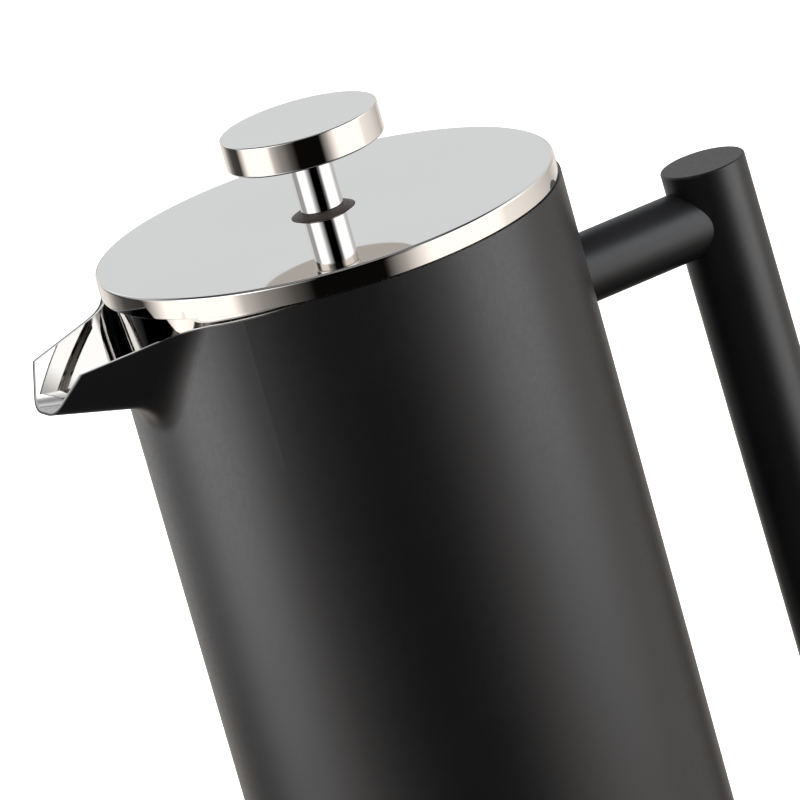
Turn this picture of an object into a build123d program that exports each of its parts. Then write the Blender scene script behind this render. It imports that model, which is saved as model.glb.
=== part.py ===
from build123d import *
import os
from math import cos, radians, tan

os.makedirs("parts", exist_ok=True)

# A double-wall stainless french press. Origin: vessel axis on the standing plane.
# +Z up, +X towards the handle, -X towards the spout. All sizes in millimetres.

# Vessel
BODY_R = 53.1                 # outer shell, outside
SHELL_WALL = 0.8
RIM_Z = 203.0                 # mouth of the vessel
BOTTOM_BEND_R = 4.0
STANDING_R = 46.0             # inner edge of the standing ring
LINER_R = 49.0                # inner cup, outside
LINER_WALL = 0.6
LINER_FIT = 0.05              # between the cup's mouth and the shell it is welded into
LINER_FLOOR_Z = 12.0          # underside of the cup's floor
LINER_BEND_R = 6.0
FLARE_LOW_Z = 161.0           # the cup's mouth widens from here
FLARE_HIGH_Z = 167.0          # to here, and lies against the outer shell
FLARE_BEND_R = 3.0
BASE_SHEET = 1.0
BASE_STEP = 2.5               # how far the base's middle is pressed up
BASE_FLANGE_R = 42.0

# Spout: a U gutter whose top edges lie on a plane that slopes down outwards
LIP_SLOPE = 6.6               # degrees
LIP_START_X = -29.2           # where that plane leaves the rim
LIP_X = -71.7                 # tip of the top edges
KEEL_X = -77.6                # tip of the keel
KEEL_Z = 189.4                # keel at its tip
KEEL_RISE = 0.29              # rise of the keel per unit outwards
TIP_HALF_WIDTH = 12.3
SPOUT_TAPER = 0.382           # half width lost per unit outwards
SIDE_LEAN = 0.62              # how far a side leans in per unit down
TIP_BEND_R = 6.0              # bottom corners of the gutter at its tip
BEND_GROWTH = 0.14            # growth of that radius per unit inwards
SPOUT_SKIN = 0.5              # black outer skin
SPOUT_LINING = 0.6            # polished lining
SPOUT_ROOT_X = -38.0
SPOUT_BLEND_R = 9.0           # soft fillet where the gutter meets the body
SADDLE_X = -41.0              # the spout pressing takes in the tube's wall from here outwards
SADDLE_LOW_Z = 167.0          # and from here up

# Handle
GRIP_X = 94.0                 # axis of the grip at its top
GRIP_R = 9.9
GRIP_LEAN = 1.1               # degrees: the grip's foot stands further out than its top
GRIP_WALL = 1.5
GRIP_TOP_Z = 184.6
GRIP_BOTTOM_Z = 14.6
ARM_R = 8.0
ARM_WALL = 2.0
UPPER_ARM_Z = 172.2
LOWER_ARM_Z = 24.0
CAP_HEAD = 2.5
CAP_SPIGOT = 6.0
CAP_EDGE_R = 0.5
BACKING_R = 13.0
BACKING_SHEET = 1.2

# Lid
LID_R = 52.5
LID_TOP_Z = 208.0
LID_SHEET = 1.0
LID_EDGE_R = 0.8
LID_GAP = 0.2                 # shadow gap between the lid's band and the rim
SEAT_GAP = 0.1                # parts that rest on each other but move apart
INNER_PLATE_R = 51.4
INNER_PLATE_SHEET = 0.8
SKIRT_R = 50.6                # strainer skirt, outside
SKIRT_WALL = 0.6
SKIRT_LOW_Z = 180.0
SLOT_COUNT = 40
SLOT_W = 2.6
SLOT_LOW_Z = 182.5
SLOT_HIGH_Z = 190.0

# Bush that guides the rod
BUSH_BASE_R = 7.3
BUSH_TOP_R = 5.6
BUSH_RISE = 0.8
BUSH_SHANK_R = 5.0
BUSH_LOW_Z = 198.0
BUSH_NUT_AF = 15.0
BUSH_NUT_T = 4.0
RUNNING = 0.05                # radial clearance of a shaft in its hole

# Plunger rod and knob
ROD_R = 3.0
STUD_R = 2.4                  # reduced, threaded ends of the rod
NECK_R = 4.85
BOSS_R = 5.2
BOSS_H = 2.0
KNOB_R = 18.0
KNOB_H = 7.1
KNOB_TOP_Z = 229.6
KNOB_TOP_EDGE_R = 0.4
KNOB_LOW_EDGE_R = 1.2
KNOB_STUD_DEPTH = 4.0

# Filter, plunged
FILTER_Z = 22.0               # underside of the cross plate
CROSS_R = 42.0
CROSS_SHEET = 1.0
CROSS_ARMS = 4
CROSS_HOLES = 5
MESH_R = 47.2
MESH_SHEET = 0.4
SPIRAL_R = 43.4
SPIRAL_SHEET = 0.8
SPIRAL_LIP = 4.0
SPIRAL_HOLES = 24
COIL_R = 2.1                  # outside radius of the edge spring's coils
HUB_NUT_R = 7.0
HUB_NUT_H = 5.5
PLATE_HUB_LOW_R = 8.0
PLATE_HUB_TOP_R = 4.6
PLATE_HUB_H = 6.0

# Worked out from the driving sizes
HIGH = RIM_Z + 15.0           # shapes that the rim cuts off are drawn up to here
KNOB_LOW_Z = KNOB_TOP_Z - KNOB_H
BOSS_LOW_Z = KNOB_LOW_Z - BOSS_H
NECK_LOW_Z = LID_TOP_Z + BUSH_RISE + 2 * SEAT_GAP
MESH_Z = FILTER_Z + CROSS_SHEET
SPIRAL_Z = MESH_Z + MESH_SHEET
PLATE_HUB_Z = SPIRAL_Z + SPIRAL_SHEET
COIL_Z = SPIRAL_Z + 0.5 + COIL_R
BUSH_SEAT_Z = LID_TOP_Z + SEAT_GAP
PLATE_UNDER_Z = RIM_Z + SEAT_GAP


def turned(points, bends=()):
    """Turn a closed (radius, height) outline round Z. bends are (point number, radius) pairs."""
    outline = make_face(Polyline(points, close=True))
    for number, radius in bends:
        corner = outline.vertices().sort_by_distance((*points[number], 0))[0]
        outline = fillet(corner, radius)
    return revolve(Plane.XZ * outline, Axis.Z)


def disc(radius, height, low_z):
    return Pos(0, 0, low_z) * Cylinder(radius, height, align=(Align.CENTER, Align.CENTER, Align.MIN))


def lip_z(x):
    """Height of the sloping plane through the gutter's top edges."""
    return RIM_Z + (x - LIP_START_X) * tan(radians(LIP_SLOPE))


def gutter_section(x, inset):
    """The gutter's closed outline across X, moved in by inset, open end drawn up to HIGH."""
    half_top = TIP_HALF_WIDTH + SPOUT_TAPER * (x - LIP_X) - inset / cos(radians(30.5))
    keel = KEEL_Z - KEEL_RISE * (x - KEEL_X) + inset
    half_high = half_top + SIDE_LEAN * (HIGH - lip_z(x))
    half_keel = half_top - SIDE_LEAN * (lip_z(x) - keel)
    outline = make_face(Polyline(
        (half_high, HIGH), (half_keel, keel), (-half_keel, keel), (-half_high, HIGH), close=True))
    bottom = outline.vertices().sort_by(Axis.Y)[0:2]
    bend = TIP_BEND_R + BEND_GROWTH * (x - KEEL_X) - inset
    return Plane.YZ.offset(x) * fillet(bottom, bend)


def gutter(inset):
    """Solid gutter form from inside the vessel to past its tip."""
    return loft([gutter_section(SPOUT_ROOT_X, inset), gutter_section(KEEL_X - 4, inset)])


def above_rim():
    """Everything over the mouth: over the rim plane, and over the spout's sloping plane."""
    block = Box(400, 200, 60, align=(Align.CENTER, Align.CENTER, Align.MIN))
    sloping = Pos(LIP_START_X, 0, RIM_Z) * Rot(0, -LIP_SLOPE, 0) * block
    return block.moved(Pos(0, 0, RIM_Z)) + sloping


def past_tip():
    """Everything outside the slanted cut that ends the spout."""
    lean = (KEEL_X - LIP_X) / (KEEL_Z - lip_z(LIP_X))
    cut = make_face(Polyline(
        (LIP_X + lean * 20, lip_z(LIP_X) + 20), (LIP_X - lean * 40, lip_z(LIP_X) - 40),
        (KEEL_X - 40, lip_z(LIP_X) - 40), (KEEL_X - 40, lip_z(LIP_X) + 20), close=True))
    return extrude(Plane.XZ * cut, 60, both=True)


def liner_envelope():
    """The cup's outside with its flared mouth, drawn solid."""
    mouth = BODY_R - SHELL_WALL - LINER_FIT
    return turned(
        [(0, LINER_FLOOR_Z), (LINER_R, LINER_FLOOR_Z), (LINER_R, FLARE_LOW_Z),
         (mouth, FLARE_HIGH_Z), (mouth, HIGH), (0, HIGH)],
        [(1, LINER_BEND_R), (2, FLARE_BEND_R), (3, FLARE_BEND_R)])


def liner_cavity():
    """The cup's inside, drawn solid."""
    inner = LINER_R - LINER_WALL
    mouth = BODY_R - SHELL_WALL - LINER_FIT - LINER_WALL
    return turned(
        [(0, LINER_FLOOR_Z + LINER_WALL), (inner, LINER_FLOOR_Z + LINER_WALL), (inner, FLARE_LOW_Z),
         (mouth, FLARE_HIGH_Z), (mouth, HIGH), (0, HIGH)],
        [(1, LINER_BEND_R - LINER_WALL), (2, FLARE_BEND_R + LINER_WALL), (3, FLARE_BEND_R - LINER_WALL)])


def flared(vessel, radius, inset, bend):
    """Join the gutter to a solid vessel form of this radius and round the seam, so the gutter flares into it."""
    joined = vessel + gutter(inset)
    seam = []
    for edge in joined.edges():
        middle = edge.position_at(0.5)
        on_wall = abs(Vector(middle.X, middle.Y).length - radius) < 0.01
        if on_wall and middle.X < SPOUT_ROOT_X and FLARE_HIGH_Z < middle.Z < HIGH - 1:
            seam.append(edge)
    return fillet(seam, bend)


def outside():
    """The vessel's outer form with the gutter's skin growing out of it."""
    tube = turned([(0, 0), (BODY_R, 0), (BODY_R, HIGH), (0, HIGH)], [(1, BOTTOM_BEND_R)])
    return flared(tube, BODY_R, 0, SPOUT_BLEND_R)


def skin_cavity():
    """The space inside the shell and the gutter's skin."""
    inner = BODY_R - SHELL_WALL
    cavity = turned(
        [(0, -1), (STANDING_R, -1), (STANDING_R, SHELL_WALL), (inner, SHELL_WALL), (inner, HIGH), (0, HIGH)],
        [(3, BOTTOM_BEND_R - SHELL_WALL)])
    return flared(cavity, inner, SPOUT_SKIN, SPOUT_BLEND_R + SPOUT_SKIN)


def cup_cavity():
    """The cup's inside with the gutter's channel flaring out of its mouth."""
    mouth = BODY_R - SHELL_WALL - LINER_FIT - LINER_WALL
    inset = SPOUT_SKIN + SPOUT_LINING
    return flared(liner_cavity(), mouth, inset, SPOUT_BLEND_R + inset)


def blended_shell():
    """Outer wall of the vessel with the gutter's skin growing out of it."""
    return outside() - skin_cavity() - above_rim() - past_tip()


def saddle_block():
    """The region of the vessel's wall that belongs to the spout pressing."""
    corner = (Align.MAX, Align.CENTER, Align.MIN)
    return Pos(SADDLE_X, 0, SADDLE_LOW_Z) * Box(80, 2 * BODY_R, HIGH, align=corner)


def outer_shell():
    """Drawn steel tube with a curled standing ring, cut out for the spout's saddle."""
    return blended_shell() - saddle_block()


def spout_skin():
    """Pressed spout: a curved saddle let into the tube, weld ground flush, and the gutter's black outside."""
    return blended_shell() & saddle_block()


def inner_liner():
    """Polished inner cup whose flared mouth is welded inside the outer shell's rim."""
    return liner_envelope() - cup_cavity() - above_rim()


def spout_lining():
    """Polished gutter from the cup's wall to the tip, nested in the outer skin."""
    inside_shell = disc(BODY_R - SHELL_WALL, HIGH + 5, -5)
    return skin_cavity() - cup_cavity() - inside_shell - above_rim() - past_tip()


def base_cap():
    """Pressed disc that closes the underside inside the standing ring."""
    middle = BASE_FLANGE_R - BASE_STEP
    return turned([
        (0, BASE_STEP), (middle, BASE_STEP), (BASE_FLANGE_R, 0), (STANDING_R, 0),
        (STANDING_R, BASE_SHEET), (BASE_FLANGE_R + 0.4, BASE_SHEET), (middle + 0.4, BASE_STEP + BASE_SHEET),
        (0, BASE_STEP + BASE_SHEET)])


def on_grip(shape):
    """Stand a shape that is drawn round Z, at its own height, on the leaning axis of the grip."""
    return Pos(GRIP_X, 0, GRIP_TOP_Z) * Rot(0, -GRIP_LEAN, 0) * Pos(0, 0, -GRIP_TOP_Z) * shape


def handle_arm(height):
    """Level tube from the shell to the grip, saddled at both ends."""
    span = Pos(BODY_R - 5, 0, height) * Rot(0, 90, 0)
    length = GRIP_X + (GRIP_TOP_Z - height) * tan(radians(GRIP_LEAN)) - BODY_R + 5
    low = (Align.CENTER, Align.CENTER, Align.MIN)
    tube = span * (Cylinder(ARM_R, length, align=low) - Cylinder(ARM_R - ARM_WALL, length, align=low))
    return tube - disc(BODY_R, HIGH, 0) - on_grip(disc(GRIP_R, RIM_Z, 0))


def handle_grip():
    """Upright tube held by the two arms, with a plug in each end."""
    low_z = GRIP_BOTTOM_Z + CAP_HEAD
    length = GRIP_TOP_Z - GRIP_BOTTOM_Z - 2 * CAP_HEAD
    tube = disc(GRIP_R, length, low_z) - disc(GRIP_R - GRIP_WALL, length, low_z)
    return on_grip(tube)


def grip_cap(face_z, inwards):
    """Round plug: a head the width of the grip and a spigot inside it. inwards is +1 or -1."""
    spigot_r = GRIP_R - GRIP_WALL
    outline = [
        (0, 0), (GRIP_R, 0), (GRIP_R, inwards * CAP_HEAD), (spigot_r, inwards * CAP_HEAD),
        (spigot_r, inwards * (CAP_HEAD + CAP_SPIGOT)), (0, inwards * (CAP_HEAD + CAP_SPIGOT))]
    return on_grip(turned([(r, face_z + z) for r, z in outline], [(1, CAP_EDGE_R)]))


def backing_plate():
    """Curved patch welded inside the outer shell behind the lower arm; the cup's mouth backs the upper one."""
    outer = BODY_R - SHELL_WALL
    ring = disc(outer, HIGH, 0) - disc(outer - BACKING_SHEET, HIGH, 0)
    punch = Pos(outer, 0, LOWER_ARM_Z) * Rot(0, 90, 0) * Cylinder(BACKING_R, 20)
    return (ring & punch).solids()[0]


def lid_cover():
    """Polished cap: flat top, small round edge and an upright band; the middle is bored for the bush."""
    band_low = RIM_Z + LID_GAP
    under = LID_TOP_Z - LID_SHEET
    bore = BUSH_SHANK_R + RUNNING
    return turned(
        [(bore, LID_TOP_Z), (LID_R, LID_TOP_Z), (LID_R, band_low), (LID_R - LID_SHEET, band_low),
         (LID_R - LID_SHEET, under), (bore, under)],
        [(1, LID_EDGE_R)])


def lid_inner_plate():
    """Flat plate that closes the lid's underside and rests on the rim."""
    plate = disc(INNER_PLATE_R, INNER_PLATE_SHEET, PLATE_UNDER_Z)
    return plate - disc(BUSH_SHANK_R + RUNNING, HIGH, 0)


def lid_strainer():
    """Slotted skirt under the lid that stands in the vessel's mouth."""
    height = PLATE_UNDER_Z - SKIRT_LOW_Z
    skirt = disc(SKIRT_R, height, SKIRT_LOW_Z) - disc(SKIRT_R - SKIRT_WALL, height, SKIRT_LOW_Z)
    slot_h = SLOT_HIGH_Z - SLOT_LOW_Z
    slot = extrude(Plane.YZ * SlotOverall(slot_h, SLOT_W, rotation=90), 6, both=True)
    middle = Pos(0, 0, (SLOT_HIGH_Z + SLOT_LOW_Z) / 2)
    return skirt - [middle * place * slot for place in PolarLocations(SKIRT_R, SLOT_COUNT)]


def lid_bush():
    """Dark plastic guide for the rod: low conical head on the lid, shank through it."""
    bore = ROD_R + RUNNING
    top = BUSH_SEAT_Z + BUSH_RISE
    return turned(
        [(bore, top), (BUSH_TOP_R, top), (BUSH_BASE_R, BUSH_SEAT_Z), (BUSH_SHANK_R, BUSH_SEAT_Z),
         (BUSH_SHANK_R, BUSH_LOW_Z), (bore, BUSH_LOW_Z)])


def bush_nut():
    """Thin hexagon nut that holds the bush from below."""
    low_z = PLATE_UNDER_Z - SEAT_GAP - BUSH_NUT_T
    hexagon = extrude(RegularPolygon(BUSH_NUT_AF / 2, 6, major_radius=False), BUSH_NUT_T)
    return hexagon.moved(Pos(0, 0, low_z)) - disc(BUSH_SHANK_R, HIGH, 0)


def plunger_rod():
    """Bright rod with a reduced threaded stud at each end."""
    low_z = FILTER_Z - HUB_NUT_H + 1.0
    top_z = KNOB_LOW_Z + KNOB_STUD_DEPTH
    return turned(
        [(0, low_z), (STUD_R, low_z), (STUD_R, PLATE_HUB_Z + RUNNING), (ROD_R, PLATE_HUB_Z + RUNNING),
         (ROD_R, NECK_LOW_Z - RUNNING), (STUD_R, NECK_LOW_Z - RUNNING), (STUD_R, top_z), (0, top_z)])


def knob_neck():
    """Polished spacer tube between the rod's shoulder and the knob."""
    height = BOSS_LOW_Z - NECK_LOW_Z
    return disc(NECK_R, height, NECK_LOW_Z) - disc(STUD_R + RUNNING, height, NECK_LOW_Z)


def knob_disc():
    """Thick polished disc with a short boss below, tapped for the rod's stud."""
    hole_top = KNOB_LOW_Z + KNOB_STUD_DEPTH + 0.5
    hole_r = STUD_R + RUNNING
    return turned(
        [(hole_r, BOSS_LOW_Z), (BOSS_R, BOSS_LOW_Z), (BOSS_R, KNOB_LOW_Z), (KNOB_R, KNOB_LOW_Z),
         (KNOB_R, KNOB_TOP_Z), (0, KNOB_TOP_Z), (0, hole_top), (hole_r, hole_top)],
        [(3, KNOB_LOW_EDGE_R), (4, KNOB_TOP_EDGE_R)])


def plate_hub():
    """Conical collar on the spiral plate that centres it on the rod."""
    bore = ROD_R + RUNNING
    return turned([
        (bore, PLATE_HUB_Z), (PLATE_HUB_LOW_R, PLATE_HUB_Z), (PLATE_HUB_TOP_R, PLATE_HUB_Z + PLATE_HUB_H),
        (bore, PLATE_HUB_Z + PLATE_HUB_H)])


def spiral_plate():
    """Top plate of the filter: two rings of holes and an upturned lip that carries the spring."""
    hole_r = STUD_R + RUNNING
    lip_z_top = SPIRAL_Z + SPIRAL_LIP
    plate = turned([
        (hole_r, SPIRAL_Z), (SPIRAL_R, SPIRAL_Z), (SPIRAL_R, lip_z_top),
        (SPIRAL_R - SPIRAL_SHEET, lip_z_top), (SPIRAL_R - SPIRAL_SHEET, PLATE_HUB_Z), (hole_r, PLATE_HUB_Z)])
    punch = disc(2.6, 6, SPIRAL_Z - 2)
    outer = [place * punch for place in PolarLocations(SPIRAL_R * 0.82, SPIRAL_HOLES)]
    inner = [place * punch for place in PolarLocations(SPIRAL_R * 0.56, SPIRAL_HOLES * 2 // 3)]
    return plate - outer - inner


def edge_spring():
    """Close-wound spring bent into a ring round the spiral plate, drawn as its outer form."""
    return Pos(0, 0, COIL_Z) * Torus(SPIRAL_R + COIL_R, COIL_R)


def filter_mesh():
    """Fine woven steel disc between the two plates."""
    return disc(MESH_R, MESH_SHEET, MESH_Z) - disc(STUD_R + RUNNING, HIGH, 0)


def cross_plate():
    """Bottom plate: broad windows between its arms, and a row of holes along each arm."""
    plate = disc(CROSS_R, CROSS_SHEET, FILTER_Z) - disc(STUD_R + RUNNING, HIGH, 0)
    ring = Circle(CROSS_R * 0.84) - Circle(CROSS_R * 0.36)
    arms = [Rot(0, 0, 180 / CROSS_ARMS * n) * Rectangle(3 * CROSS_R, CROSS_R * 0.34) for n in range(CROSS_ARMS)]
    window = extrude(Pos(0, 0, FILTER_Z - 2) * (ring - arms), 6)
    hole = disc(2.0, 6, FILTER_Z - 2)
    holes = []
    for row in range(CROSS_HOLES - 1):
        radius = CROSS_R * (0.36 + 0.13 * row)
        holes += [place * hole for place in PolarLocations(radius, 2 * CROSS_ARMS)]
    return plate - window - holes


def hub_nut():
    """Round nut under the filter that clamps its discs on the rod's lower stud."""
    low_z = FILTER_Z - HUB_NUT_H
    nut = turned([(0, low_z), (HUB_NUT_R, low_z), (HUB_NUT_R, FILTER_Z), (0, FILTER_Z)], [(1, 1.0)])
    return nut - disc(STUD_R + RUNNING, HIGH, low_z + 0.8)


PIECES = {
    "outer_shell": outer_shell,
    "spout_skin": spout_skin,
    "inner_liner": inner_liner,
    "spout_lining": spout_lining,
    "base_cap": base_cap,
    "upper_handle_arm": lambda: handle_arm(UPPER_ARM_Z),
    "lower_handle_arm": lambda: handle_arm(LOWER_ARM_Z),
    "handle_grip": handle_grip,
    "grip_top_cap": lambda: grip_cap(GRIP_TOP_Z, -1),
    "grip_bottom_cap": lambda: grip_cap(GRIP_BOTTOM_Z, 1),
    "backing_plate": backing_plate,
    "lid_cover": lid_cover,
    "lid_inner_plate": lid_inner_plate,
    "lid_strainer": lid_strainer,
    "lid_bush": lid_bush,
    "bush_nut": bush_nut,
    "plunger_rod": plunger_rod,
    "knob_neck": knob_neck,
    "knob_disc": knob_disc,
    "plate_hub": plate_hub,
    "spiral_plate": spiral_plate,
    "edge_spring": edge_spring,
    "filter_mesh": filter_mesh,
    "cross_plate": cross_plate,
    "hub_nut": hub_nut,
}

for name, make in PIECES.items():
    export_step(make(), f"parts/{name}.step")
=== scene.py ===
import math

import bmesh
import bpy
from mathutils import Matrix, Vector


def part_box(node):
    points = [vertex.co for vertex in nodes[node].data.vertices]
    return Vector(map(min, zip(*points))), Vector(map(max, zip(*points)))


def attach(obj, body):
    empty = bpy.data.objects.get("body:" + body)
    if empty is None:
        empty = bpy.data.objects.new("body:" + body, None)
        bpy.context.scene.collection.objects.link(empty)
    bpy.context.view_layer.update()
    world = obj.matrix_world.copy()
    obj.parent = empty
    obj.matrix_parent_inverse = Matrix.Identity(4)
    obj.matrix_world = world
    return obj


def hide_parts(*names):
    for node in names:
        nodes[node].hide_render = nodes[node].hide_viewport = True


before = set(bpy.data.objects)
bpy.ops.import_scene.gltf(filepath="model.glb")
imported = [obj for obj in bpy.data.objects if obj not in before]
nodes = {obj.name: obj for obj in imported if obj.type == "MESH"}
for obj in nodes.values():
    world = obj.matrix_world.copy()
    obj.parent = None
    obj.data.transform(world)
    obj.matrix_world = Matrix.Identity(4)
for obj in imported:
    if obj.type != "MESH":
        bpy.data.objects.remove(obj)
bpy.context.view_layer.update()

# Vessel shell, spout and base: steel sheet under black powder coat. Sprayed dry and baked, so
# it is matt, with the fine orange peel of baked powder and a slightly uneven sheen.
def new_material(name):
    """An empty node material with its output and a Principled shader, ready to wire."""
    material = bpy.data.materials.new(name)
    material.use_nodes = True
    tree = material.node_tree
    tree.nodes.clear()
    out = tree.nodes.new("ShaderNodeOutputMaterial")
    shader = tree.nodes.new("ShaderNodeBsdfPrincipled")
    tree.links.new(shader.outputs["BSDF"], out.inputs["Surface"])
    return material, tree, shader


def noise(tree, scale, detail=2.0, stretch=(1, 1, 1)):
    """Noise on Object coordinates. scale is in waves per metre, stretch packs it closer along an axis."""
    place = tree.nodes.new("ShaderNodeTexCoord")
    mapping = tree.nodes.new("ShaderNodeMapping")
    mapping.inputs["Scale"].default_value = stretch
    texture = tree.nodes.new("ShaderNodeTexNoise")
    texture.inputs["Scale"].default_value = scale
    texture.inputs["Detail"].default_value = detail
    tree.links.new(place.outputs["Object"], mapping.inputs["Vector"])
    tree.links.new(mapping.outputs["Vector"], texture.inputs["Vector"])
    return texture.outputs["Fac"]


def spread(tree, value, low, high, start=0.3, end=0.7):
    """Map a value from start..end to low..high, clamped."""
    node = tree.nodes.new("ShaderNodeMapRange")
    node.inputs["From Min"].default_value = start
    node.inputs["From Max"].default_value = end
    node.inputs["To Min"].default_value = low
    node.inputs["To Max"].default_value = high
    tree.links.new(value, node.inputs["Value"])
    return node.outputs["Result"]


def tint(tree, value, low, high):
    """A colour between two, chosen by a value from 0 to 1."""
    node = tree.nodes.new("ShaderNodeMix")
    node.data_type = "RGBA"
    node.inputs["A"].default_value = (*low, 1)
    node.inputs["B"].default_value = (*high, 1)
    tree.links.new(value, node.inputs["Factor"])
    return node.outputs["Result"]


def bump(tree, shader, height, distance, strength=1.0):
    node = tree.nodes.new("ShaderNodeBump")
    node.inputs["Distance"].default_value = distance
    node.inputs["Strength"].default_value = strength
    tree.links.new(height, node.inputs["Height"])
    tree.links.new(node.outputs["Normal"], shader.inputs["Normal"])


def dress(material, *names):
    """Give a material to CAD pieces."""
    for name in names:
        nodes[name].material_slots[0].material = material


powder_coat, tree, shader = new_material("black_powder_coat")
sprayed = tint(tree, spread(tree, noise(tree, 30, 3), 0, 1), (0.0026, 0.0026, 0.0030), (0.0040, 0.0040, 0.0046))
tree.links.new(sprayed, shader.inputs["Base Color"])
tree.links.new(spread(tree, noise(tree, 900, 3), 0.36, 0.42), shader.inputs["Roughness"])
shader.inputs["IOR"].default_value = 1.38
bump(tree, shader, noise(tree, 2600, 2), 0.00002, 0.35)
dress(powder_coat, "outer_shell", "spout_skin", "base_cap")

# Spout lining: stainless sheet pressed to the gutter and buffed to a mirror after welding.
# The same warm grey mirror is on the lid, knob and rod: faintly wavy, with light wiping marks.
polished_steel, tree, shader = new_material("polished_steel")
shader.inputs["Metallic"].default_value = 1.0
buffed = spread(tree, noise(tree, 25, 3), 0, 1)
tree.links.new(tint(tree, buffed, (0.70, 0.684, 0.667), (0.715, 0.70, 0.684)), shader.inputs["Base Color"])
tree.links.new(spread(tree, noise(tree, 60, 4), 0.02, 0.045), shader.inputs["Roughness"])
dress(polished_steel, "spout_lining")

# Inner cup: deep-drawn stainless, ring-brushed on a lathe, so the scratches run round the wall.
# The patch behind the lower arm is a plain offcut of the same sheet.
brushed_steel, tree, shader = new_material("brushed_steel")
shader.inputs["Metallic"].default_value = 1.0
shader.inputs["Anisotropic"].default_value = 0.5
scratches = noise(tree, 120, 6, (1, 1, 60))
brushed = spread(tree, scratches, 0, 1)
tree.links.new(tint(tree, brushed, (0.52, 0.51, 0.50), (0.62, 0.61, 0.595)), shader.inputs["Base Color"])
tree.links.new(spread(tree, scratches, 0.24, 0.36), shader.inputs["Roughness"])
bump(tree, shader, scratches, 0.00001, 0.4)
dress(brushed_steel, "inner_liner", "backing_plate")

# Handle: two short tubes welded level to the shell, and a plugged tube across their ends, all
# coated with the pot.
dress(powder_coat, "upper_handle_arm", "lower_handle_arm", "handle_grip", "grip_top_cap", "grip_bottom_cap")

# Lid cover: a flat disc of stainless, its edge rolled over a small radius into an upright band,
# bored for the bush, and polished all over.
MM = 0.001
SMOOTH_UP_TO = math.radians(32)


def start_piece(name, radius, low, high, sides=192):
    """Add a cylinder of this radius between two heights on the press's axis, and go into edit mode."""
    bpy.ops.object.select_all(action="DESELECT")
    bpy.ops.mesh.primitive_cylinder_add(vertices=sides, radius=radius, depth=high - low,
                                        location=(0, 0, (low + high) / 2))
    piece = bpy.context.object
    piece.name = name
    piece.data.name = name
    bpy.ops.object.transform_apply(location=True, rotation=False, scale=False)
    bpy.ops.object.mode_set(mode="EDIT")
    return piece


def pick_face(height, up):
    """Select the middle face at this height that looks up or down."""
    bpy.ops.mesh.select_mode(type="FACE")
    bpy.ops.mesh.select_all(action="DESELECT")
    mesh = bmesh.from_edit_mesh(bpy.context.object.data)
    for face in mesh.faces:
        middle = face.calc_center_median()
        level_face = abs(middle.z - height) < 1e-5 and face.normal.z * (1 if up else -1) > 0.9
        if level_face and middle.xy.length < 1e-5:
            face.select_set(True)
    bmesh.update_edit_mesh(bpy.context.object.data)


def pick_ring(radius, height):
    """Select the ring of edges at this radius and height."""
    bpy.ops.mesh.select_mode(type="EDGE")
    bpy.ops.mesh.select_all(action="DESELECT")
    mesh = bmesh.from_edit_mesh(bpy.context.object.data)
    for edge in mesh.edges:
        on_ring = all(abs(v.co.z - height) < 1e-5 and abs(v.co.xy.length - radius) < 1e-5 for v in edge.verts)
        if on_ring:
            edge.select_set(True)
    bmesh.update_edit_mesh(bpy.context.object.data)


def inset_to(old_radius, new_radius):
    bpy.ops.mesh.inset(thickness=old_radius - new_radius, use_boundary=True)


def draw_out(distance):
    bpy.ops.mesh.extrude_region_move(TRANSFORM_OT_translate={"value": (0, 0, distance)})


def bridge_bore():
    """Join the middle faces at the two ends into an open bore."""
    bpy.ops.mesh.select_mode(type="FACE")
    bpy.ops.mesh.select_all(action="DESELECT")
    mesh = bmesh.from_edit_mesh(bpy.context.object.data)
    for face in mesh.faces:
        if face.calc_center_median().xy.length < 1e-5:
            face.select_set(True)
    bmesh.update_edit_mesh(bpy.context.object.data)
    bpy.ops.mesh.bridge_edge_loops()


def round_ring(radius, height, bend, steps):
    pick_ring(radius, height)
    bpy.ops.mesh.bevel(offset=bend, segments=steps, profile=0.5, affect="EDGES")


def finish_piece(piece, material, body, slot, *stands_for):
    """Leave edit mode, smooth the curved faces only, and put the piece on its body."""
    bpy.ops.object.mode_set(mode="OBJECT")
    bpy.ops.object.shade_smooth_by_angle(angle=SMOOTH_UP_TO)
    bpy.ops.object.modifier_add(type="WEIGHTED_NORMAL")
    piece.modifiers[-1].keep_sharp = True
    bpy.ops.object.modifier_apply(modifier=piece.modifiers[-1].name)
    piece.data.materials.append(material)
    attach(piece, body)
    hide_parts(*stands_for)


low_corner, high_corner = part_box("lid_cover")
lid_radius = high_corner.x
lid_low, lid_top = low_corner.z, high_corner.z
LID_SHEET = 1.0 * MM
LID_BEND = 0.8 * MM
LID_DEBURR = 0.12 * MM
LID_BORE_RADIUS = 5.05 * MM
lid = start_piece("lid_cover_polished", lid_radius, lid_low, lid_top, 288)
pick_face(lid_low, False)
inset_to(lid_radius, lid_radius - LID_SHEET)
draw_out(lid_top - LID_SHEET - lid_low)
inset_to(lid_radius - LID_SHEET, LID_BORE_RADIUS)
pick_face(lid_top, True)
inset_to(lid_radius, LID_BORE_RADIUS)
bridge_bore()
round_ring(lid_radius, lid_top, LID_BEND, 8)
round_ring(lid_radius, lid_low, LID_DEBURR, 2)
finish_piece(lid, polished_steel, "lid", "polished_steel", "lid_cover")

# Strainer and inner plate: a slotted skirt spot-welded to a plain disc under the lid. The skirt is
# buffed with the lid, and the disc keeps its brushed finish.
dress(polished_steel, "lid_strainer")
dress(brushed_steel, "lid_inner_plate")

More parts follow.
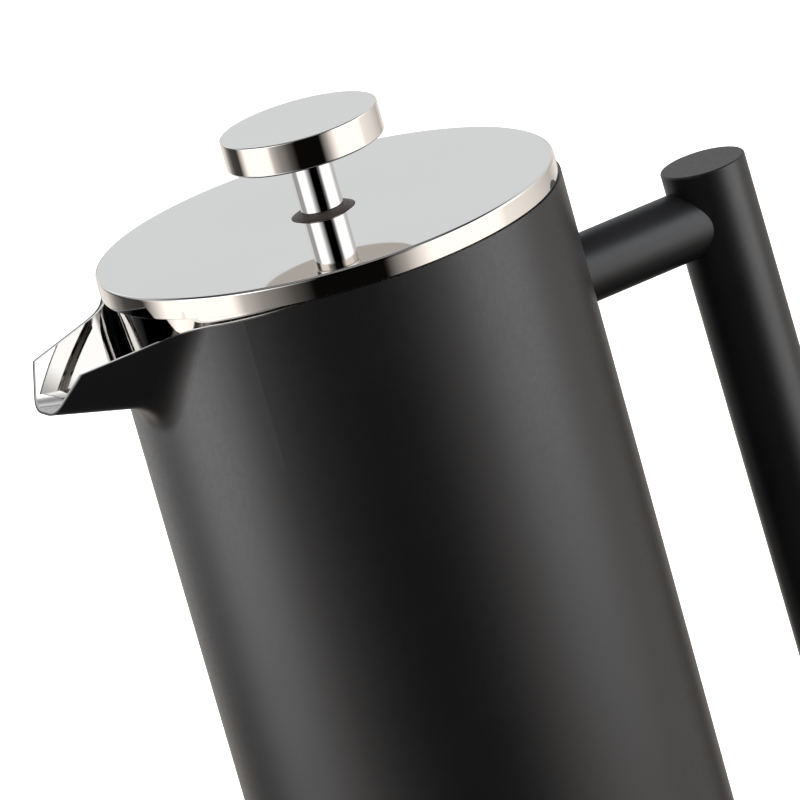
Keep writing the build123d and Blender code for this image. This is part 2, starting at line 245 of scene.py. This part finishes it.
# Bush: a turned guide of dark brown plastic, snapped through the lid and held by a thin nut
# below. Satin, with faint tool marks round it.
dark_plastic, tree, shader = new_material("dark_brown_plastic")
moulded = spread(tree, noise(tree, 400, 3), 0, 1)
tree.links.new(tint(tree, moulded, (0.060, 0.044, 0.039), (0.080, 0.059, 0.052)), shader.inputs["Base Color"])
tree.links.new(spread(tree, noise(tree, 500, 2, (1, 1, 8)), 0.42, 0.52), shader.inputs["Roughness"])
bump(tree, shader, noise(tree, 600, 2, (1, 1, 8)), 0.00002, 0.3)
dress(brushed_steel, "bush_nut")
low_corner, high_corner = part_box("lid_bush")
FLANGE_RADIUS = high_corner.x
FLANGE_TOP_RADIUS = 5.6 * MM
SHANK_RADIUS = 5.0 * MM
ROD_HOLE_RADIUS = 3.05 * MM
SEAT_GAP = 0.05 * MM
flange_low = lid_top + SEAT_GAP
bush = start_piece("lid_bush_turned", FLANGE_RADIUS, flange_low, high_corner.z, 160)
pick_face(flange_low, False)
inset_to(FLANGE_RADIUS, SHANK_RADIUS)
draw_out(low_corner.z - flange_low)
inset_to(SHANK_RADIUS, ROD_HOLE_RADIUS)
pick_face(high_corner.z, True)
narrowed = FLANGE_TOP_RADIUS / FLANGE_RADIUS
bpy.ops.transform.resize(value=(narrowed, narrowed, 1), center_override=(0, 0, high_corner.z))
inset_to(FLANGE_TOP_RADIUS, ROD_HOLE_RADIUS)
bridge_bore()
finish_piece(bush, dark_plastic, "lid_guide", "dark_plastic", "lid_bush")

# Plunger rod: bright-ground stainless bar, 6 mm, reduced to a threaded stud at each end.
low_corner, high_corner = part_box("plunger_rod")
rod_radius = high_corner.x
STUD_RADIUS = 2.4 * MM
STUD_CHAMFER = 0.4 * MM
rod_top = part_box("knob_neck")[0].z - SEAT_GAP
rod_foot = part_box("plate_hub")[0].z + SEAT_GAP
rod = start_piece("plunger_rod_polished", rod_radius, rod_foot, rod_top, 96)
for height, end in ((rod_top, high_corner.z), (rod_foot, low_corner.z)):
    pick_face(height, end > height)
    inset_to(rod_radius, STUD_RADIUS)
    draw_out(end - height)
    round_ring(STUD_RADIUS, end, STUD_CHAMFER, 2)
finish_piece(rod, polished_steel, "plunger", "polished_steel", "plunger_rod")

# Neck: a polished spacer tube on the rod's upper stud, its ends broken with a fine chamfer.
low_corner, high_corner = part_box("knob_neck")
neck_radius = high_corner.x
STUD_HOLE_RADIUS = 2.45 * MM
NECK_CHAMFER = 0.15 * MM
neck = start_piece("knob_neck_polished", neck_radius, low_corner.z, high_corner.z, 128)
for height in (low_corner.z, high_corner.z):
    pick_face(height, height > low_corner.z)
    inset_to(neck_radius, STUD_HOLE_RADIUS)
bridge_bore()
for height in (low_corner.z, high_corner.z):
    round_ring(neck_radius, height, NECK_CHAMFER, 2)
finish_piece(neck, polished_steel, "knob", "polished_steel", "knob_neck")

# Knob: a thick disc turned from bar, crisp above and softly rounded below, with a short boss that
# is drilled and tapped for the stud. Polished like the lid.
low_corner, high_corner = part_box("knob_disc")
knob_radius = high_corner.x
knob_top = high_corner.z
BOSS_RADIUS = 5.2 * MM
BOSS_HEIGHT = 2.0 * MM
STUD_HOLE_DEPTH = 4.5 * MM    # past the boss
KNOB_TOP_BEND = 0.4 * MM
KNOB_LOW_BEND = 0.6 * MM
BOSS_BEND = 0.2 * MM
knob_low = low_corner.z + BOSS_HEIGHT
knob = start_piece("knob_disc_polished", knob_radius, knob_low, knob_top, 256)
pick_face(knob_low, False)
inset_to(knob_radius, BOSS_RADIUS)
draw_out(-BOSS_HEIGHT)
inset_to(BOSS_RADIUS, STUD_HOLE_RADIUS)
draw_out(BOSS_HEIGHT + STUD_HOLE_DEPTH)
round_ring(knob_radius, knob_top, KNOB_TOP_BEND, 5)
round_ring(knob_radius, knob_low, KNOB_LOW_BEND, 6)
round_ring(BOSS_RADIUS, low_corner.z, BOSS_BEND, 3)
finish_piece(knob, polished_steel, "knob", "polished_steel", "knob_disc")

# Filter plates, hub and nut: punched and spun from brushed sheet, the hub and nut turned from bar.
dress(brushed_steel, "plate_hub", "spiral_plate", "cross_plate", "hub_nut")

# Filter mesh: a disc cut from fine woven wire cloth, about one wire every half millimetre, with painted shade in
# the gaps between the wires.
WIRE_PITCH = 0.5 * MM
woven_steel, tree, shader = new_material("woven_steel")
shader.inputs["Metallic"].default_value = 1.0
place = tree.nodes.new("ShaderNodeTexCoord")
axes = tree.nodes.new("ShaderNodeSeparateXYZ")
tree.links.new(place.outputs["Object"], axes.inputs["Vector"])


def math_node(operation, *values):
    node = tree.nodes.new("ShaderNodeMath")
    node.operation = operation
    for socket, value in zip(node.inputs, values):
        if hasattr(value, "links"):
            tree.links.new(value, socket)
        else:
            socket.default_value = value
    return node.outputs[0]


def wires_across(axis):
    return math_node("SINE", math_node("MULTIPLY", axes.outputs[axis], 2 * math.pi / WIRE_PITCH))


weave = math_node("MULTIPLY", wires_across("X"), wires_across("Y"))
weave_and_gap_shade = spread(tree, weave, 0, 1, -0.6, 0.6)
# Painted shade: the weave's low parts, between and under the wires, get a dark colour in place of real shade.
# The same pattern also raises the wires by bump.
tree.links.new(tint(tree, weave_and_gap_shade, (0.10, 0.098, 0.095), (0.58, 0.57, 0.555)), shader.inputs["Base Color"])
shader.inputs["Roughness"].default_value = 0.35
bump(tree, shader, weave_and_gap_shade, 0.1 * MM, 0.8)
dress(woven_steel, "filter_mesh")

# Edge spring: thin spring wire coiled round a ring, which presses the mesh's edge to the wall.
low_corner, high_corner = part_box("edge_spring")
WIRE_RADIUS = 0.35 * MM
SPRING_TURNS = 190
POINTS_PER_TURN = 10
coil_radius = (high_corner.z - low_corner.z) / 2 - WIRE_RADIUS
ring_radius = high_corner.x - coil_radius - WIRE_RADIUS
ring_height = (high_corner.z + low_corner.z) / 2
path = bpy.data.curves.new("edge_spring_wire", "CURVE")
path.dimensions = "3D"
path.bevel_depth = WIRE_RADIUS
path.bevel_resolution = 1
wire = path.splines.new("POLY")
wire.points.add(SPRING_TURNS * POINTS_PER_TURN - 1)
for number, point in enumerate(wire.points):
    along_ring = 2 * math.pi * number / len(wire.points)
    along_coil = along_ring * SPRING_TURNS
    out = ring_radius + coil_radius * math.cos(along_coil)
    point.co = (out * math.cos(along_ring), out * math.sin(along_ring),
                ring_height + coil_radius * math.sin(along_coil), 1)
wire.use_cyclic_u = True
spring = bpy.data.objects.new("edge_spring_wire", path)
bpy.context.collection.objects.link(spring)
bpy.ops.object.select_all(action="DESELECT")
spring.select_set(True)
bpy.context.view_layer.objects.active = spring
bpy.ops.object.convert(target="MESH")
bpy.ops.object.shade_smooth()
spring = bpy.context.object
spring.data.materials.append(polished_steel)
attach(spring, "filter")
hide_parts("edge_spring")

# Floor: a plain pale studio floor, wide enough to fill the picture.
bpy.ops.object.select_all(action="DESELECT")
bpy.ops.mesh.primitive_plane_add(size=12)
floor = bpy.context.object
floor.name = "studio_floor"
material, tree, shader = new_material("pale_floor")
tree.links.new(tint(tree, spread(tree, noise(tree, 3), 0, 1), (0.92, 0.92, 0.92), (0.94, 0.94, 0.94)),
               shader.inputs["Base Color"])
shader.inputs["Roughness"].default_value = 0.9
floor.data.materials.append(material)
floor.visible_glossy = False
floor.visible_shadow = False

# Studio: the room is painted on the world by direction. White side boxes, a white backdrop,
# and dark gaps between them that give the polished steel its black bands.
CAMERA_AZIMUTH = math.radians(-25.0)
CAMERA_HEIGHT = math.radians(16.0)
CAMERA_ROLL = math.radians(15.75)

world = bpy.data.worlds.new("studio")
bpy.context.scene.world = world
world.use_nodes = True
tree = world.node_tree
tree.nodes.clear()


def ramp(value, stops):
    """Brightness along a value from 0 to 1, by (place, brightness) stops."""
    node = tree.nodes.new("ShaderNodeValToRGB")
    elements = node.color_ramp.elements
    while len(elements) < len(stops):
        elements.new(1.0)
    top = max(brightness for place, brightness in stops)
    for element, (place, brightness) in zip(elements, stops):
        element.position = place
        element.color = (brightness / top, brightness / top, brightness / top, 1)
    tree.links.new(value, node.inputs["Fac"])
    return math_node("MULTIPLY", node.outputs["Color"], top)


def coloured(value, colour):
    """A colour made brighter or darker by a value."""
    node = tree.nodes.new("ShaderNodeVectorMath")
    node.operation = "SCALE"
    node.inputs[0].default_value = colour
    tree.links.new(value, node.inputs["Scale"])
    return node.outputs["Vector"]


def summed(first, second):
    node = tree.nodes.new("ShaderNodeVectorMath")
    node.operation = "ADD"
    tree.links.new(first, node.inputs[0])
    tree.links.new(second, node.inputs[1])
    return node.outputs["Vector"]


direction = tree.nodes.new("ShaderNodeTexCoord").outputs["Generated"]
parts = tree.nodes.new("ShaderNodeSeparateXYZ")
tree.links.new(direction, parts.inputs["Vector"])
# Turned so that 0.5 is towards the camera, and more is to its right.
ahead = CAMERA_AZIMUTH - math.pi / 2
turn = math_node("ARCTAN2", parts.outputs["Y"], parts.outputs["X"])
turn = math_node("SUBTRACT", turn, ahead)
turn = math_node("DIVIDE", turn, 2 * math.pi)
around = math_node("FRACT", math_node("ADD", turn, 1.5))
height = math_node("ADD", math_node("DIVIDE", math_node("ARCSINE", parts.outputs["Z"]), math.pi), 0.5)


def at(degrees):
    """Place on the ramp around the press, in degrees from the camera's side."""
    return 0.5 + degrees / 360


def level(degrees):
    """Place on the ramp from straight down to straight up, in degrees above level."""
    return 0.5 + degrees / 180


WHITE_BOX = 1.6
BRIGHT_BOX = 2.1
low_band = ramp(around, [
    (at(-180), 0.66), (at(-171), 0.66), (at(-164), 1.0), (at(-152), 0.9), (at(-140), 0.30),
    (at(-130), 0.08), (at(-112), 0.05), (at(-104), 0.8), (at(-96), WHITE_BOX), (at(-56), WHITE_BOX),
    (at(-50), 0.7), (at(-40), 0.36), (at(-32), 0.24), (at(-24), 0.1), (at(-14), 0.004),
    (at(22), 0.004), (at(32), 0.5), (at(38), 1.0), (at(46), WHITE_BOX), (at(88), WHITE_BOX),
    (at(94), 1.2), (at(120), 0.95), (at(144), 0.6), (at(156), 0.85), (at(164), 1.0),
    (at(171), 0.66), (at(180), 0.66)])
high_band = ramp(around, [
    (at(-180), 0.86), (at(-156), 0.86), (at(-146), 1.3), (at(-132), 0.6), (at(-98), 0.6),
    (at(-86), BRIGHT_BOX), (at(-46), BRIGHT_BOX), (at(-34), 1.0), (at(-22), 0.4), (at(-12), 0.0),
    (at(24), 0.0), (at(36), 0.3), (at(48), BRIGHT_BOX), (at(104), BRIGHT_BOX), (at(114), 1.2),
    (at(132), 0.86), (at(180), 0.86)])
lower_share = ramp(height, [
    (0.0, 0.1), (level(-45), 0.1), (level(-35), 1.0), (level(8), 1.0), (level(14), 0.0), (1.0, 0.0)])
upper_share = ramp(height, [
    (0.0, 0.0), (level(8), 0.0), (level(14), 1.0), (level(35), 1.0), (level(48), 0.03), (1.0, 0.03)])
low_light = coloured(math_node("MULTIPLY", low_band, lower_share), (1.0, 0.93, 0.87))
high_light = coloured(math_node("MULTIPLY", high_band, upper_share), (0.96, 0.98, 1.0))
ceiling = coloured(ramp(height, [(0.0, 0.0), (level(55), 0.0), (level(72), 0.3), (1.0, 0.3)]), (1.0, 0.99, 0.97))
painted = summed(summed(low_light, high_light), ceiling)
seen = tree.nodes.new("ShaderNodeLightPath").outputs["Is Camera Ray"]
shown = tree.nodes.new("ShaderNodeMix")
shown.data_type = "RGBA"
tree.links.new(seen, shown.inputs["Factor"])
tree.links.new(painted, shown.inputs["A"])
shown.inputs["B"].default_value = (1, 1, 1, 1)
background = tree.nodes.new("ShaderNodeBackground")
tree.links.new(shown.outputs["Result"], background.inputs["Color"])
tree.links.new(background.outputs["Background"], tree.nodes.new("ShaderNodeOutputWorld").inputs["Surface"])


# Softboxes beside the press, for the long highlights on the black coat. They light the coated
# pieces only, so the polished steel shows the soft-edged room instead.
coated = bpy.data.collections.new("coated_pieces")
for node in nodes.values():
    if node.material_slots[0].material == powder_coat:
        coated.objects.link(node)
PANEL_DISTANCE = 0.6
PANEL_LOW = -0.045
PANEL_HIGH = 0.60
PANEL_COLOUR = (0.93, 0.96, 1.0)


def softbox(name, turn, half_width, radiance):
    """An upright panel facing the press. turn and half_width are in degrees from the camera's side."""
    towards = ahead + math.radians(turn)
    width = 2 * PANEL_DISTANCE * math.tan(math.radians(half_width))
    height = PANEL_HIGH - PANEL_LOW
    out = PANEL_DISTANCE
    place = Vector((out * math.cos(towards), out * math.sin(towards), PANEL_LOW + height / 2))
    bpy.ops.object.light_add(type="AREA", location=place, rotation=(math.pi / 2, 0, towards + math.pi / 2))
    panel = bpy.context.object
    panel.name = name
    panel.data.shape = "RECTANGLE"
    panel.data.size = width
    panel.data.size_y = height
    panel.data.color = PANEL_COLOUR
    panel.data.energy = radiance * math.pi * width * height
    panel.visible_camera = False
    panel.visible_diffuse = False
    panel.light_linking.receiver_collection = coated


softbox("left_panel", -84, 19, 4.8)
softbox("right_panel", 74, 20, 4.2)
softbox("back_left_panel", -126, 23, 0.75)

# A broad light overhead keeps the floor white; it isn't seen in the polished steel.
bpy.ops.object.light_add(type="AREA", location=(0, 0, 2.2))
top_light = bpy.context.object
top_light.name = "top_light"
top_light.data.size = 2.5
top_light.data.energy = 120
top_light.visible_glossy = False

# Camera: a long lens a little above the lid, rolled so that the press leans left.
LENS = 384.5
SENSOR = 36
DISTANCE = 1.886
AIM_RIGHT = 4.95 * MM         # from the middle of the lid's top
AIM_DOWN = 44.8 * MM
right = Vector((math.cos(CAMERA_AZIMUTH), math.sin(CAMERA_AZIMUTH), 0))
back = Vector((math.sin(CAMERA_AZIMUTH) * math.cos(CAMERA_HEIGHT),
               -math.cos(CAMERA_AZIMUTH) * math.cos(CAMERA_HEIGHT), math.sin(CAMERA_HEIGHT)))
up = back.cross(right)
aim = Vector((0, 0, lid_top)) + AIM_RIGHT * right - AIM_DOWN * up
camera_up = up * math.cos(CAMERA_ROLL) + right * math.sin(CAMERA_ROLL)
camera_right = right * math.cos(CAMERA_ROLL) - up * math.sin(CAMERA_ROLL)
bpy.ops.object.camera_add(location=aim + back * DISTANCE)
camera = bpy.context.object
camera.rotation_mode = "QUATERNION"
turned = camera.rotation_quaternion.to_matrix()
turned.col[0], turned.col[1], turned.col[2] = camera_right, camera_up, back
camera.rotation_quaternion = turned.to_quaternion()
camera.data.lens = LENS
camera.data.sensor_width = SENSOR
camera.data.clip_end = 50
bpy.context.scene.camera = camera
bpy.context.scene.view_settings.view_transform = "Standard"
